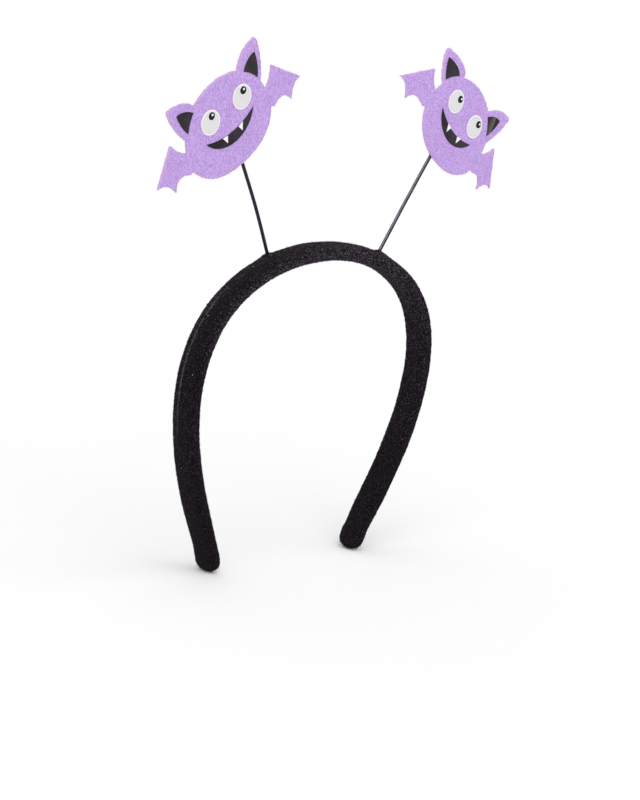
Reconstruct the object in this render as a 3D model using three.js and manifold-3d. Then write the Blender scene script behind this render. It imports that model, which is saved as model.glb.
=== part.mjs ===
// Bat headband: a velvet covered spring band with two felt bats on wire stems.
// Millimetres, +Z up, the front faces -Y. The origin is the middle of the crown's inner face.

import * as THREE from 'three';
import { mergeVertices } from 'three/addons/utils/BufferGeometryUtils.js';
import Module from 'manifold-3d';

const wasm = await Module();
wasm.setup();

const degree = Math.PI / 180;

// Padded band: a rounded section carried along an arch
const band = {
  width: 12.2, // front to back
  thickness: 7.2, // inner face to outer face
  squareness: 3, // exponent of the section's outline, 2 is an ellipse
  halfLength: 190, // crown to tip along the middle line
  tipLength: 5, // stretch that rounds off at each tip
  tipBluntness: 2.4, // exponent of the tip's rounding, 2 is a half ellipse
  taperStart: 0.84, // share of the half length where the section starts to slim
  taper: 0.11, // slimming at the tip
  foldLength: 10, // velvet folded in at each tip, a little fuller than the rest
  foldSwell: 0.03,
  foldStep: 2, // length over which the fold swells
  ringStep: 4.5,
  foldRings: 4,
  tipRings: 6,
  sides: 20,
};

// Bend of the arch along its way from the crown to a tip; a negative radius flares out
const archBends = [
  { share: 0.0, radius: 112 },
  { share: 0.125, radius: 104 },
  { share: 0.25, radius: 69 },
  { share: 0.375, radius: 44.5 },
  { share: 0.5, radius: 56 },
  { share: 0.625, radius: 103 },
  { share: 0.75, radius: 146 },
  { share: 0.875, radius: 400 },
  { share: 0.94, radius: -130 },
  { share: 0.965, radius: -36 },
  { share: 1.0, radius: -36 },
];
const archStep = 0.5;

// Wire stems, straight, set a little behind the middle of the band
const wire = {
  diameter: 1.3,
  setBack: 2.1, // stem axis behind the band's middle plane
  seat: 4.2, // depth in the band
  reach: 17, // length held in the felt
  clearance: 0.3,
  overrun: 4, // how far a cutter for the stem's hole runs past the surface
  sides: 12,
};

// Velvet pulled up around a stem's foot, and over the foot's bent end where that shows as a ridge
const swell = { height: 1.7, along: 3.2, across: 3.4, ridgeLength: 9, ringOffsets: [-4, -2, 0, 2, 4] };

// Felt bat, measured from the middle of its body
const felt = {
  thickness: 1.5,
  frontY: 0.2, // front face in the band's frame
  halfWidth: 24.1,
  halfHeight: 20.3, // middle to the top of the head
  chin: 19, // middle to the flatter chin
  chinBow: 12.5,
  cheek: { x: 20, y: -14.4 },
  ridgeWall: 0.9, // felt round the wire's channel on the back
  ridgeInset: 0.8, // ridge starts this far inside the lower edge
  ridgeEnd: 2, // felt past the wire's end
  curveSteps: 6,
};
const ear = {
  innerAngle: 58.5, // where the ear leaves and meets the body's oval
  outerAngle: 20,
  innerBow: { x: 17.8, y: 23.4 },
  tipStart: { x: 25.2, y: 23.7 },
  tip: { x: 27.6, y: 24.5 },
  tipEnd: { x: 27.4, y: 21.6 },
  outerBow: { x: 26.6, y: 14.2 },
};
const wing = {
  upperAngle: 6,
  lowerAngle: -18,
  shoulderBow: { x: 27.3, y: 3.4 },
  shoulder: { x: 30.2, y: 9.1 },
  point: { x: 43, y: -4 },
  firstScallop: { x: 37.6, y: -3.4 },
  middle: { x: 35.3, y: -10 },
  secondScallop: { x: 32.4, y: -3.4 },
  heel: { x: 25.6, y: -6.8 },
  top: 10, // the outline outside the oval is wing up to this height
};

// Vinyl face, laid on the felt
const face = { thickness: 0.2, gap: 0.06, curveSteps: 8 };
const eye = { radius: 5.25, spacing: 19.2, x: 0.8, y: 6.9, segments: 32 };
const pupil = { radius: 1.65, x: 1.4, y: 2.25, segments: 20 };
const glint = { radius: 0.5, x: 0.3, y: 0.45, segments: 10 };
const mouth = { x: 0, halfWidth: 14.3, y: -0.3, lipDepth: 6.2, chinDepth: 10.6, chinReach: 8.4, segments: 16 };
const fangs = [
  { name: 'a', x: -4.3, y: -3.1, width: 2.9, length: 3.1, lean: 0.3, slope: -9 },
  { name: 'b', x: 5.2, y: -2.9, width: 2.8, length: 3.0, lean: 0, slope: 13 },
];
const innerEar = {
  tip: { x: 23.7, y: 19.8 },
  inner: { x: 15.4, y: 15.8 },
  outer: { x: 21.2, y: 9.4 },
  tipBow: { x: 19.8, y: 18.8 },
  outerBow: { x: 23.9, y: 14.2 },
  baseBow: { x: 19.2, y: 13.2 },
};

// Each stem and its bat as they are bent; left is towards -X
const antennae = [
  { name: 'left', side: -1, footX: 35, lean: 30.3, batX: 71.6, batZ: 56.9, roll: 34.2, curl: 0, ridge: 0 },
  { name: 'right', side: 1, footX: 35.5, lean: 30.3, batX: 72.9, batZ: 58.4, roll: 35.1, curl: 2.5, ridge: 1 },
];

const materials = {
  velvet: new THREE.MeshStandardMaterial({ color: 0x151319, roughness: 0.95, metalness: 0 }),
  wire: new THREE.MeshStandardMaterial({ color: 0x1b1a20, roughness: 0.45, metalness: 0.2 }),
  felt: new THREE.MeshStandardMaterial({ color: 0xbf9be6, roughness: 0.95, metalness: 0 }),
  black: new THREE.MeshStandardMaterial({ color: 0x1a181c, roughness: 0.4, metalness: 0 }),
  pale: new THREE.MeshStandardMaterial({ color: 0xe4e2e0, roughness: 0.45, metalness: 0 }),
  white: new THREE.MeshStandardMaterial({ color: 0xf8f7f6, roughness: 0.4, metalness: 0 }),
};

// Solids for joining and cutting

function toSolid(geometry) {
  const bare = geometry.clone();
  bare.deleteAttribute('normal');
  bare.deleteAttribute('uv');
  const merged = mergeVertices(bare, 1e-4);
  const vertProperties = new Float32Array(merged.attributes.position.array);
  const triVerts = new Uint32Array(merged.index.array);
  return new wasm.Manifold(new wasm.Mesh({ numProp: 3, vertProperties, triVerts }));
}

function fromSolid(solid) {
  const mesh = solid.getMesh();
  const geometry = new THREE.BufferGeometry();
  geometry.setAttribute('position', new THREE.BufferAttribute(new Float32Array(mesh.vertProperties), 3));
  geometry.setIndex(new THREE.BufferAttribute(new Uint32Array(mesh.triVerts), 1));
  const faceted = geometry.toNonIndexed();
  faceted.computeVertexNormals();
  return faceted;
}

// A rod of the given radius between two points
function rod(start, end, radius, sides) {
  const axis = new THREE.Vector3().subVectors(end, start);
  const geometry = new THREE.CylinderGeometry(radius, radius, axis.length(), sides);
  const upright = new THREE.Vector3(0, 1, 0);
  geometry.applyQuaternion(new THREE.Quaternion().setFromUnitVectors(upright, axis.clone().normalize()));
  const middle = new THREE.Vector3().addVectors(start, end).multiplyScalar(0.5);
  return geometry.translate(middle.x, middle.y, middle.z);
}

// Arch of the band

// Bend at a share of the half length, blended between the rows
function bendAt(share) {
  const next = Math.max(1, archBends.findIndex((row) => row.share >= Math.min(share, 1)));
  const low = archBends[next - 1];
  const high = archBends[next];
  const blend = (share - low.share) / (high.share - low.share);
  return (1 - blend) / low.radius + blend / high.radius;
}

// Middle line of one half: the slope adds up the bends, the place adds up the slopes
function halfArch() {
  const line = [{ s: 0, x: 0, z: band.thickness / 2, slope: 0 }];
  while (line.at(-1).s < band.halfLength - archStep / 2) {
    const { s, x, z, slope } = line.at(-1);
    const middleSlope = slope + (bendAt(s / band.halfLength) * archStep) / 2;
    line.push({
      s: s + archStep,
      x: x + Math.cos(middleSlope) * archStep,
      z: z - Math.sin(middleSlope) * archStep,
      slope: slope + bendAt((s + archStep / 2) / band.halfLength) * archStep,
    });
  }
  return line;
}

const archLine = halfArch();

// Middle point and outward normal at a signed distance from the crown
function archAt(s) {
  const place = Math.min(Math.abs(s) / archStep, archLine.length - 1.001);
  const low = archLine[Math.floor(place)];
  const high = archLine[Math.floor(place) + 1];
  const blend = place - Math.floor(place);
  const mix = (key) => low[key] + (high[key] - low[key]) * blend;
  const sign = Math.sign(s) || 1;
  return {
    middle: new THREE.Vector3(sign * mix('x'), 0, mix('z')),
    normal: new THREE.Vector3(sign * Math.sin(mix('slope')), 0, Math.cos(mix('slope'))),
  };
}

// Distance along the arch and place on the outer face of a stem's foot
function stemFoot(antenna) {
  let low = 0;
  let high = band.halfLength / 2;
  while (high - low > 1e-4) {
    const s = (low + high) / 2;
    const { middle, normal } = archAt(s);
    if (middle.x + (normal.x * band.thickness) / 2 < antenna.footX) {
      low = s;
    } else {
      high = s;
    }
  }
  const { middle, normal } = archAt(antenna.side * low);
  const point = middle.clone().addScaledVector(normal, band.thickness / 2);
  point.y = wire.setBack;
  return { s: antenna.side * low, point };
}

function stemDirection(antenna) {
  const lean = antenna.side * antenna.lean * degree;
  return new THREE.Vector3(Math.sin(lean), 0, Math.cos(lean));
}

// Velvet band

function bump(distance, reach) {
  return Math.exp(-((distance / reach) ** 2));
}

// Height of the velvet above the plain outer face around the stems
function swellAt(s, y, feet) {
  return feet.reduce((height, foot) => {
    const beyond = (s - foot.s) * foot.side;
    const ridge = Math.max(0, Math.min(beyond, foot.ridge * swell.ridgeLength));
    return height + swell.height * bump(beyond - ridge, swell.along) * bump(y - wire.setBack, swell.across);
  }, 0);
}

// Share of the plain section: slimming down the leg, fuller at the fold, rounded off at the tip
function sectionShare(s) {
  const fromTip = band.halfLength - Math.abs(s);
  const slim = 1 - band.taper * THREE.MathUtils.smoothstep(Math.abs(s) / band.halfLength, band.taperStart, 1);
  const foldEnd = band.foldLength - band.foldStep;
  const fold = 1 - THREE.MathUtils.smoothstep(fromTip, foldEnd, band.foldLength);
  const into = Math.max(0, 1 - fromTip / band.tipLength);
  const rounding = (1 - into ** band.tipBluntness) ** (1 / band.tipBluntness);
  return slim * (1 + band.foldSwell * fold) * rounding;
}

// Stations of the rings: even steps, closer at the tips and round each stem's foot
function ringStations(feet) {
  const stations = [];
  const foldStart = band.halfLength - band.foldLength;
  const tipStart = band.halfLength - band.tipLength;
  const count = Math.round((2 * foldStart) / band.ringStep);
  for (let i = 0; i <= count; i += 1) {
    stations.push(THREE.MathUtils.lerp(-foldStart, foldStart, i / count));
  }
  for (const end of [-1, 1]) {
    for (let i = 1; i <= band.foldRings; i += 1) {
      stations.push(end * THREE.MathUtils.lerp(foldStart, tipStart, i / band.foldRings));
    }
    for (let i = 1; i < band.tipRings; i += 1) {
      const turn = (i / band.tipRings) * 90 * degree;
      stations.push(end * (tipStart + band.tipLength * Math.sin(turn)));
    }
  }
  for (const foot of feet) {
    stations.push(...swell.ringOffsets.map((offset) => foot.s + offset));
  }
  stations.sort((a, b) => a - b);
  return stations.filter((s, i) => i === 0 || s - stations[i - 1] > archStep);
}

// Section outline: a superellipse across the band, with corners rounder than a box
function sectionPoint(side) {
  const turn = (side / band.sides) * 360 * degree;
  const power = 2 / band.squareness;
  const across = Math.sign(Math.cos(turn)) * Math.abs(Math.cos(turn)) ** power;
  const out = Math.sign(Math.sin(turn)) * Math.abs(Math.sin(turn)) ** power;
  return { across: (across * band.width) / 2, out: (out * band.thickness) / 2 };
}

function bandGeometry(feet) {
  const stations = ringStations(feet);
  const positions = [];
  const index = [];
  const add = (point) => positions.push(point.x, point.y, point.z);
  for (const s of stations) {
    const { middle, normal } = archAt(s);
    const share = sectionShare(s);
    for (let side = 0; side < band.sides; side += 1) {
      const { across, out } = sectionPoint(side);
      const outward = Math.max(0, out) / (band.thickness / 2);
      const height = out * share + outward * swellAt(s, across, feet);
      const point = middle.clone().addScaledVector(normal, height);
      point.y = across * share;
      add(point);
    }
  }
  add(archAt(-band.halfLength).middle);
  add(archAt(band.halfLength).middle);
  const startTip = stations.length * band.sides;
  const lastRing = (stations.length - 1) * band.sides;
  for (let side = 0; side < band.sides; side += 1) {
    const next = (side + 1) % band.sides;
    for (let ring = 0; ring < lastRing; ring += band.sides) {
      const a = ring + side;
      const b = ring + next;
      index.push(a, b, a + band.sides, b, b + band.sides, a + band.sides);
    }
    index.push(startTip, next, side);
    index.push(startTip + 1, lastRing + side, lastRing + next);
  }
  const geometry = new THREE.BufferGeometry();
  geometry.setAttribute('position', new THREE.Float32BufferAttribute(positions, 3));
  geometry.setIndex(index);
  return geometry;
}

function makeBand() {
  const feet = antennae.map((antenna) => ({
    ...stemFoot(antenna),
    side: antenna.side,
    ridge: antenna.ridge,
    direction: stemDirection(antenna),
  }));
  let solid = toSolid(bandGeometry(feet));
  for (const foot of feet) {
    const bottom = foot.point.clone().addScaledVector(foot.direction, -wire.seat);
    const above = foot.point.clone().addScaledVector(foot.direction, swell.height + wire.overrun);
    const socket = rod(bottom, above, wire.diameter / 2 + wire.clearance, wire.sides);
    solid = solid.subtract(toSolid(socket));
  }
  const mesh = new THREE.Mesh(fromSolid(solid), materials.velvet);
  mesh.name = 'velvet_band';
  return mesh;
}

// Bats

// The stem's line in the bat's own flat frame: where it meets the lower edge, and its direction there
function stemInBat(antenna) {
  const turn = antenna.side * antenna.roll * degree;
  const toLocal = (point) => new THREE.Vector2(
    point.x * Math.cos(turn) - point.z * Math.sin(turn),
    point.x * Math.sin(turn) + point.z * Math.cos(turn),
  );
  const foot = stemFoot(antenna).point;
  const offset = toLocal(new THREE.Vector3(foot.x - antenna.side * antenna.batX, 0, foot.z - antenna.batZ));
  const direction = toLocal(stemDirection(antenna));
  const oval = new THREE.Vector2(felt.halfWidth, felt.chin);
  const from = offset.clone().divide(oval);
  const way = direction.clone().divide(oval);
  const nearest = -from.dot(way) / way.lengthSq();
  const inside = Math.sqrt((from.dot(way) / way.lengthSq()) ** 2 - (from.lengthSq() - 1) / way.lengthSq());
  const travel = nearest - inside;
  return { entry: offset.addScaledVector(direction, travel), direction, travel };
}

// One half of the bat's outline, from the top of the head down to the chin
function halfOutline() {
  const { halfWidth, halfHeight, chin, chinBow, cheek } = felt;
  const arc = (path, from, to) => {
    path.absellipse(0, 0, halfWidth, halfHeight, from * degree, to * degree, true);
  };
  const onBody = (angle) => ({
    x: halfWidth * Math.cos(angle * degree),
    y: halfHeight * Math.sin(angle * degree),
  });
  const bow = (path, control, end) => path.quadraticCurveTo(control.x, control.y, end.x, end.y);
  const path = new THREE.Path();
  path.moveTo(0, halfHeight);
  arc(path, 90, ear.innerAngle);
  bow(path, ear.innerBow, ear.tipStart);
  bow(path, ear.tip, ear.tipEnd);
  bow(path, ear.outerBow, onBody(ear.outerAngle));
  arc(path, ear.outerAngle, wing.upperAngle);
  bow(path, wing.shoulderBow, wing.shoulder);
  path.lineTo(wing.point.x, wing.point.y);
  bow(path, wing.firstScallop, wing.middle);
  bow(path, wing.secondScallop, wing.heel);
  const lower = onBody(wing.lowerAngle);
  path.lineTo(lower.x, lower.y);
  path.bezierCurveTo(cheek.x, cheek.y, chinBow, -chin, 0, -chin);
  return path.getPoints(felt.curveSteps);
}

function batOutline() {
  const right = halfOutline();
  const left = right.slice(1, -1).reverse();
  return new THREE.Shape([...right, ...left.map((p) => new THREE.Vector2(-p.x, p.y))]);
}

function plate(shape, depth, z, curveSegments) {
  const geometry = new THREE.ExtrudeGeometry(shape, { depth, bevelEnabled: false, steps: 1, curveSegments });
  return geometry.translate(0, 0, z);
}

// Wings bend back towards their points
function curlWings(geometry, curl) {
  const { position } = geometry.attributes;
  const root = felt.halfWidth;
  for (let i = 0; i < position.count; i += 1) {
    const x = Math.abs(position.getX(i));
    const out = Math.max(0, (x - root) / (wing.point.x - root));
    const onWing = position.getY(i) < wing.top;
    position.setZ(i, position.getZ(i) - (onWing ? curl * out ** 2 : 0));
  }
  return geometry;
}

function feltGeometry(antenna) {
  const body = toSolid(curlWings(plate(batOutline(), felt.thickness, 0, felt.curveSteps), antenna.curl));
  const { entry, direction } = stemInBat(antenna);
  const axisZ = felt.frontY + felt.thickness - wire.setBack;
  const along = (distance) => new THREE.Vector3(
    entry.x + direction.x * distance,
    entry.y + direction.y * distance,
    axisZ,
  );
  const channelRadius = wire.diameter / 2 + wire.clearance;
  const ridgeRadius = channelRadius + felt.ridgeWall;
  const ridge = rod(along(felt.ridgeInset), along(wire.reach + felt.ridgeEnd), ridgeRadius, wire.sides);
  const channel = rod(along(-wire.overrun), along(wire.reach + wire.clearance), channelRadius, wire.sides);
  return fromSolid(body.add(toSolid(ridge)).subtract(toSolid(channel)));
}

function disc(x, y, radius) {
  const shape = new THREE.Shape();
  shape.absarc(x, y, radius, 0, 360 * degree, false);
  return shape;
}

function innerEarShape(side) {
  const { tip, inner, outer, tipBow, outerBow, baseBow } = innerEar;
  const shape = new THREE.Shape();
  shape.moveTo(side * inner.x, inner.y);
  shape.quadraticCurveTo(side * tipBow.x, tipBow.y, side * tip.x, tip.y);
  shape.quadraticCurveTo(side * outerBow.x, outerBow.y, side * outer.x, outer.y);
  shape.quadraticCurveTo(side * baseBow.x, baseBow.y, side * inner.x, inner.y);
  return shape;
}

function mouthShape() {
  const { x, y, halfWidth, lipDepth, chinDepth, chinReach } = mouth;
  const shape = new THREE.Shape();
  shape.moveTo(x - halfWidth, y);
  shape.bezierCurveTo(x - chinReach, y - chinDepth, x + chinReach, y - chinDepth, x + halfWidth, y);
  shape.quadraticCurveTo(x, y - lipDepth, x - halfWidth, y);
  return shape;
}

function fangShape(fang) {
  const drop = (Math.tan(fang.slope * degree) * fang.width) / 2;
  const shape = new THREE.Shape();
  shape.moveTo(fang.x - fang.width / 2, fang.y - drop);
  shape.lineTo(fang.x + fang.lean, fang.y - fang.length);
  shape.lineTo(fang.x + fang.width / 2, fang.y + drop);
  shape.closePath();
  return shape;
}

function makeBat(antenna) {
  const bat = new THREE.Group();
  const flat = new THREE.Group();
  bat.position.set(antenna.side * antenna.batX, felt.frontY + felt.thickness, antenna.batZ);
  bat.rotation.y = antenna.side * antenna.roll * degree;
  flat.rotation.x = 90 * degree;
  bat.add(flat);

  const place = (name, geometry, material) => {
    const mesh = new THREE.Mesh(geometry, material);
    mesh.name = `${name}_${antenna.name}`;
    flat.add(mesh);
  };
  const layer = (count) => felt.thickness + face.gap + count * (face.thickness + face.gap);
  const lay = (name, shape, level, material, segments) => {
    place(name, plate(shape, face.thickness, layer(level), segments), material);
  };

  place('bat_felt', feltGeometry(antenna), materials.felt);
  for (const [name, side] of [['a', -1], ['b', 1]]) {
    const eyeX = eye.x + (side * eye.spacing) / 2;
    const pupilX = eyeX + pupil.x;
    const pupilY = eye.y + pupil.y;
    lay(`inner_ear_${name}`, innerEarShape(side), 0, materials.black, face.curveSteps);
    lay(`eye_${name}`, disc(eyeX, eye.y, eye.radius), 0, materials.pale, eye.segments);
    lay(`pupil_${name}`, disc(pupilX, pupilY, pupil.radius), 1, materials.black, pupil.segments);
    const shine = disc(pupilX + glint.x, pupilY + glint.y, glint.radius);
    lay(`glint_${name}`, shine, 2, materials.white, glint.segments);
  }
  lay('mouth', mouthShape(), 0, materials.black, mouth.segments);
  for (const fang of fangs) {
    lay(`fang_${fang.name}`, fangShape(fang), 1, materials.white, face.curveSteps);
  }
  return bat;
}

// Wire stems

function makeStem(antenna) {
  const foot = stemFoot(antenna).point;
  const direction = stemDirection(antenna);
  const start = foot.clone().addScaledVector(direction, wire.clearance - wire.seat);
  const end = foot.clone().addScaledVector(direction, stemInBat(antenna).travel + wire.reach);
  const mesh = new THREE.Mesh(rod(start, end, wire.diameter / 2, wire.sides), materials.wire);
  mesh.name = `wire_stem_${antenna.name}`;
  return mesh;
}

const headband = new THREE.Group();
headband.add(makeBand());
for (const antenna of antennae) {
  headband.add(makeStem(antenna));
  headband.add(makeBat(antenna));
}

export default headband;
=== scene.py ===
import math

import bpy
import numpy as np
from mathutils import Matrix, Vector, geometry


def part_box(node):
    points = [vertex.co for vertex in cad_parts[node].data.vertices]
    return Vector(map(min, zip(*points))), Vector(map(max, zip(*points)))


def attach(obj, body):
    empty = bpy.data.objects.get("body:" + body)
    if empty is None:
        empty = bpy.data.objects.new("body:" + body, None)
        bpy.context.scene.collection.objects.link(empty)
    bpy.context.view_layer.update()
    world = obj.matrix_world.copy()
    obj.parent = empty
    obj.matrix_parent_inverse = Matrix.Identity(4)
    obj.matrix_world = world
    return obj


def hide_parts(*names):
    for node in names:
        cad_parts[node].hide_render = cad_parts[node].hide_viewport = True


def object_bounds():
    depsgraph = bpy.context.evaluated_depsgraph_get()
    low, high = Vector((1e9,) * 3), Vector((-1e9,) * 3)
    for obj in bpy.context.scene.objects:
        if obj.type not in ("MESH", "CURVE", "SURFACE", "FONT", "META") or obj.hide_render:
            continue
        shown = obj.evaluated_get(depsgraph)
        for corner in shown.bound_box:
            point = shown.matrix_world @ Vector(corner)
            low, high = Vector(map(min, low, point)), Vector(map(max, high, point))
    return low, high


# Bat headband: velvet covered band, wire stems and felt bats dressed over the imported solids.
# Shapes are worked out in millimetres and go into the meshes in metres.

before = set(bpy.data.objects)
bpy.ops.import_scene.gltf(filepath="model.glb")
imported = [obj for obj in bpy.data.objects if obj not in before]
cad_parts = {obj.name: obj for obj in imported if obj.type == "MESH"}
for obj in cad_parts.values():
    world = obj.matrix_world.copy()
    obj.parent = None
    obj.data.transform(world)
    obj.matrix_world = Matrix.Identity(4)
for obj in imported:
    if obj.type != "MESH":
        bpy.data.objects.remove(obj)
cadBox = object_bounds()
scene = bpy.context.scene
mm = 0.001
join = np.concatenate
print("frame:", len(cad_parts), "solids")


def addObject(name, data):
    thing = bpy.data.objects.new(name, data)
    scene.collection.objects.link(thing)
    return thing


# Node helpers


def feed(tree, value, socket):
    # link another node's output, or set a constant
    if isinstance(value, bpy.types.NodeSocket):
        tree.links.new(value, socket)
    else:
        socket.default_value = value


def addNode(tree, kind, settings=None, **sockets):
    node = tree.nodes.new("ShaderNode" + kind)
    for key, value in (settings or {}).items():
        setattr(node, key, value)
    for key, value in sockets.items():
        feed(tree, value, node.inputs[key.replace("_", " ")])
    return node


def ramp(tree, value, low, high):
    # 0 below low, 1 above high, smooth between them
    return addNode(tree, "MapRange", {"interpolation_type": "SMOOTHSTEP"},
                   Value=value, From_Min=low, From_Max=high).outputs["Result"]


def between(tree, value, low, high):
    # 0 to 1 carried to low to high
    return addNode(tree, "MapRange", Value=value, To_Min=low, To_Max=high).outputs["Result"]


def math2(tree, first, second, operation="MULTIPLY"):
    node = addNode(tree, "Math", {"operation": operation})
    feed(tree, first, node.inputs[0])
    feed(tree, second, node.inputs[1])
    return node.outputs["Value"]


def mixColour(tree, factor, first, second):
    node = addNode(tree, "Mix", {"data_type": "RGBA"})
    sockets = {socket.identifier: socket for socket in node.inputs}
    feed(tree, factor, sockets["Factor_Float"])
    for colour, label in ((first, "A_Color"), (second, "B_Color")):
        feed(tree, (*colour, 1) if isinstance(colour, tuple) else colour, sockets[label])
    return next(socket for socket in node.outputs if socket.identifier == "Result_Color")


def attribute(tree, name, output="Fac"):
    return addNode(tree, "Attribute", {"attribute_name": name}).outputs[output]


def addBump(tree, shader, height, v):
    bump = addNode(tree, "Bump", Height=height, Strength=v["bump"], Distance=v["relief"])
    tree.links.new(bump.outputs["Normal"], shader.inputs["Normal"])


def startMaterial(name, constants):
    material = bpy.data.materials.new(name)
    material.use_nodes = True
    shader = material.node_tree.nodes["Principled BSDF"]
    for label, value in constants.items():
        shader.inputs[label].default_value = value
    return material, material.node_tree, shader


# Camera, floor and light

photoCamera = dict(
    azimuth=-49.62, elevation=12.66, roll=8.97,  # degrees
    distance=1.1101, lens=117.39, sensor=36.0, farClip=50.0,
    crown=(0, 0, 0.00364), crownPixel=(328.2, 250.9), picture=(640, 800),
)


def makeCamera(v):
    # turned about the object and moved sideways until the crown falls on its pixel
    turn, tilt, roll = np.radians([v["azimuth"], v["elevation"], v["roll"]])
    back = np.array([math.sin(turn) * math.cos(tilt), -math.cos(turn) * math.cos(tilt), math.sin(tilt)])
    level = np.array([math.cos(turn), math.sin(turn), 0])
    above = np.cross(back, level)
    right = level * math.cos(roll) + above * math.sin(roll)
    up = above * math.cos(roll) - level * math.sin(roll)
    perPixel = v["distance"] * v["sensor"] / v["lens"] / max(v["picture"])
    offset = (np.array(v["crownPixel"]) - np.array(v["picture"]) / 2) * perPixel
    place = np.array(v["crown"]) + back * v["distance"] - right * offset[0] + up * offset[1]
    data = bpy.data.cameras.new("photoCamera")
    data.lens = v["lens"]
    data.sensor_width = v["sensor"]
    data.clip_end = v["farClip"]
    turned = Matrix(np.column_stack([right, up, back]).tolist()).to_4x4()
    scene.camera = addObject("photoCamera", data)
    scene.camera.matrix_world = Matrix.Translation(place.tolist()) @ turned


studio = dict(
    floorDrop=0.0004,  # floor just under the tips
    floorSize=30.0,
    paper={"Base Color": (0.97, 0.97, 0.97, 1), "Roughness": 0.9, "Specular IOR Level": 0.1},
    worldLight=0.7, worldSeen=1.0, worldMirrored=0.25,
    lamps=dict(  # where the light comes from, strength, degrees that it spans, whether cloth takes it too
        keyLamp=((-0.55, -0.6, 0.9), 0.95, 60, True),
        fillLamp=((0.7, -0.6, 0.5), 0.4, 70, True),
        rearLamp=((0.2, 0.8, 0.7), 0.3, 70, True),
        shineLamp=((-0.74, -0.19, 0.65), 8.0, 28, False),
    ),
)


def makeStudio(v):
    scene.view_settings.view_transform = "Standard"
    half = v["floorSize"] / 2
    height = cadBox[0].z - v["floorDrop"]
    mesh = bpy.data.meshes.new("floor")
    corners = [(x * half, y * half, height) for x, y in ((-1, -1), (1, -1), (1, 1), (-1, 1))]
    mesh.from_pydata(corners, [], [(0, 1, 2, 3)])
    mesh.materials.append(startMaterial("paleFloor", v["paper"])[0])
    addObject("floor", mesh)

    world = bpy.data.worlds.new("studio")
    scene.world = world
    world.use_nodes = True
    tree = world.node_tree
    path = addNode(tree, "LightPath")
    strength = v["worldLight"]
    for ray, level in (("Is Glossy Ray", v["worldMirrored"]), ("Is Camera Ray", v["worldSeen"])):
        strength = addNode(tree, "Mix", Factor=path.outputs[ray], A=strength, B=level).outputs["Result"]
    sky = tree.nodes["Background"]
    sky.inputs["Color"].default_value = (1, 1, 1, 1)
    tree.links.new(strength, sky.inputs["Strength"])

    for name, (away, energy, span, onCloth) in v["lamps"].items():
        lamp = bpy.data.lights.new(name, "SUN")
        lamp.angle = math.radians(span)
        lamp.energy = energy
        side = np.cross((0, 0, 1), away)
        axes = np.column_stack([side, np.cross(away, side), away])
        axes /= np.linalg.norm(axes, axis=0)
        holder = addObject(name, lamp)
        holder.matrix_world = Matrix(axes.tolist()).to_4x4()
        holder.visible_diffuse = onCloth


makeCamera(photoCamera)
makeStudio(studio)
print("camera, floor and light")


# Shared effects

fleckLayers = dict(  # share of the finest scale, detail, distortion, noise that counts as none and as full
    Fibre=(1.0, 3.0, 0.8, 0.3, 0.7),
    Tuft=(0.3, 2.0, 0.4, 0.32, 0.68),
    Cloud=(0.06, 2.0, 0.2, 0.3, 0.7),
)
fleckRoughness = 0.6
tuftHeight = 0.8
grainMarks = dict(fineDetail=2.0, slowDetail=3.0, slowShare=0.12, low=0.3, high=0.7)


def newGroup(name, outputs):
    # a group that takes a place and the size of its finest marks
    group = bpy.data.node_groups.new(name, "ShaderNodeTree")
    for label, kind in (("Place", "NodeSocketVector"), ("Size", "NodeSocketFloat")):
        group.interface.new_socket(label, in_out="INPUT", socket_type=kind)
    for label in outputs:
        group.interface.new_socket(label, in_out="OUTPUT", socket_type="NodeSocketFloat")
    start = group.nodes.new("NodeGroupInput")
    perSize = math2(group, 1.0, start.outputs["Size"], "DIVIDE")
    return group, start.outputs["Place"], perSize, group.nodes.new("NodeGroupOutput")


def useGroup(tree, group, place, size):
    return addNode(tree, "Group", {"node_tree": group}, Place=place, Size=size).outputs


def makeFleckGroup(layers):
    # flecks of cloth: fine fibres, small tufts and slow clouds, each 0 to 1, and the height of the first two
    group, place, perSize, end = newGroup("clothFlecks", [*layers, "Height"])
    masks = {}
    for label, (share, detail, distortion, low, high) in layers.items():
        scale = math2(group, perSize, share)
        noise = addNode(group, "TexNoise", Vector=place, Scale=scale, Detail=detail,
                        Roughness=fleckRoughness, Distortion=distortion)
        masks[label] = ramp(group, noise.outputs["Fac"], low, high)
    tufts = math2(group, masks["Tuft"], tuftHeight)
    masks["Height"] = math2(group, masks["Fibre"], tufts, "ADD")
    for label, value in masks.items():
        group.links.new(value, end.inputs[label])
    return group


def makeGrainGroup(v):
    # faint orange-peel grain and wipe marks of thin vinyl
    group, place, perSize, end = newGroup("vinylGrain", ("Mark", "Height"))
    fine = addNode(group, "TexNoise", Vector=place, Scale=perSize, Detail=v["fineDetail"])
    scale = math2(group, perSize, v["slowShare"])
    slow = addNode(group, "TexNoise", Vector=place, Scale=scale, Detail=v["slowDetail"])
    group.links.new(ramp(group, slow.outputs["Fac"], v["low"], v["high"]), end.inputs["Mark"])
    group.links.new(fine.outputs["Fac"], end.inputs["Height"])
    return group


clothFlecks = makeFleckGroup(fleckLayers)
vinylGrain = makeGrainGroup(grainMarks)


# Materials

velvetLook = dict(
    deep=(0.0037, 0.0013, 0.0037), lit=(0.129, 0.107, 0.137), crease=(0.13, 0.125, 0.135),
    # speckStart and the one after it: fibre thresholds where the painted light is full and where it is none
    fleck=0.0006, tufts=(0.45, 1.15), worn=(0.1, 0.6), speckStart=0.45, speckInShade=0.70,
    bump=0.9, relief=0.00025,
    shader={"Roughness": 0.9, "Specular IOR Level": 0.05, "Sheen Weight": 0.05, "Sheen Roughness": 0.45,
            "Sheen Tint": (0.55, 0.48, 0.58, 1)},
)


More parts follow.
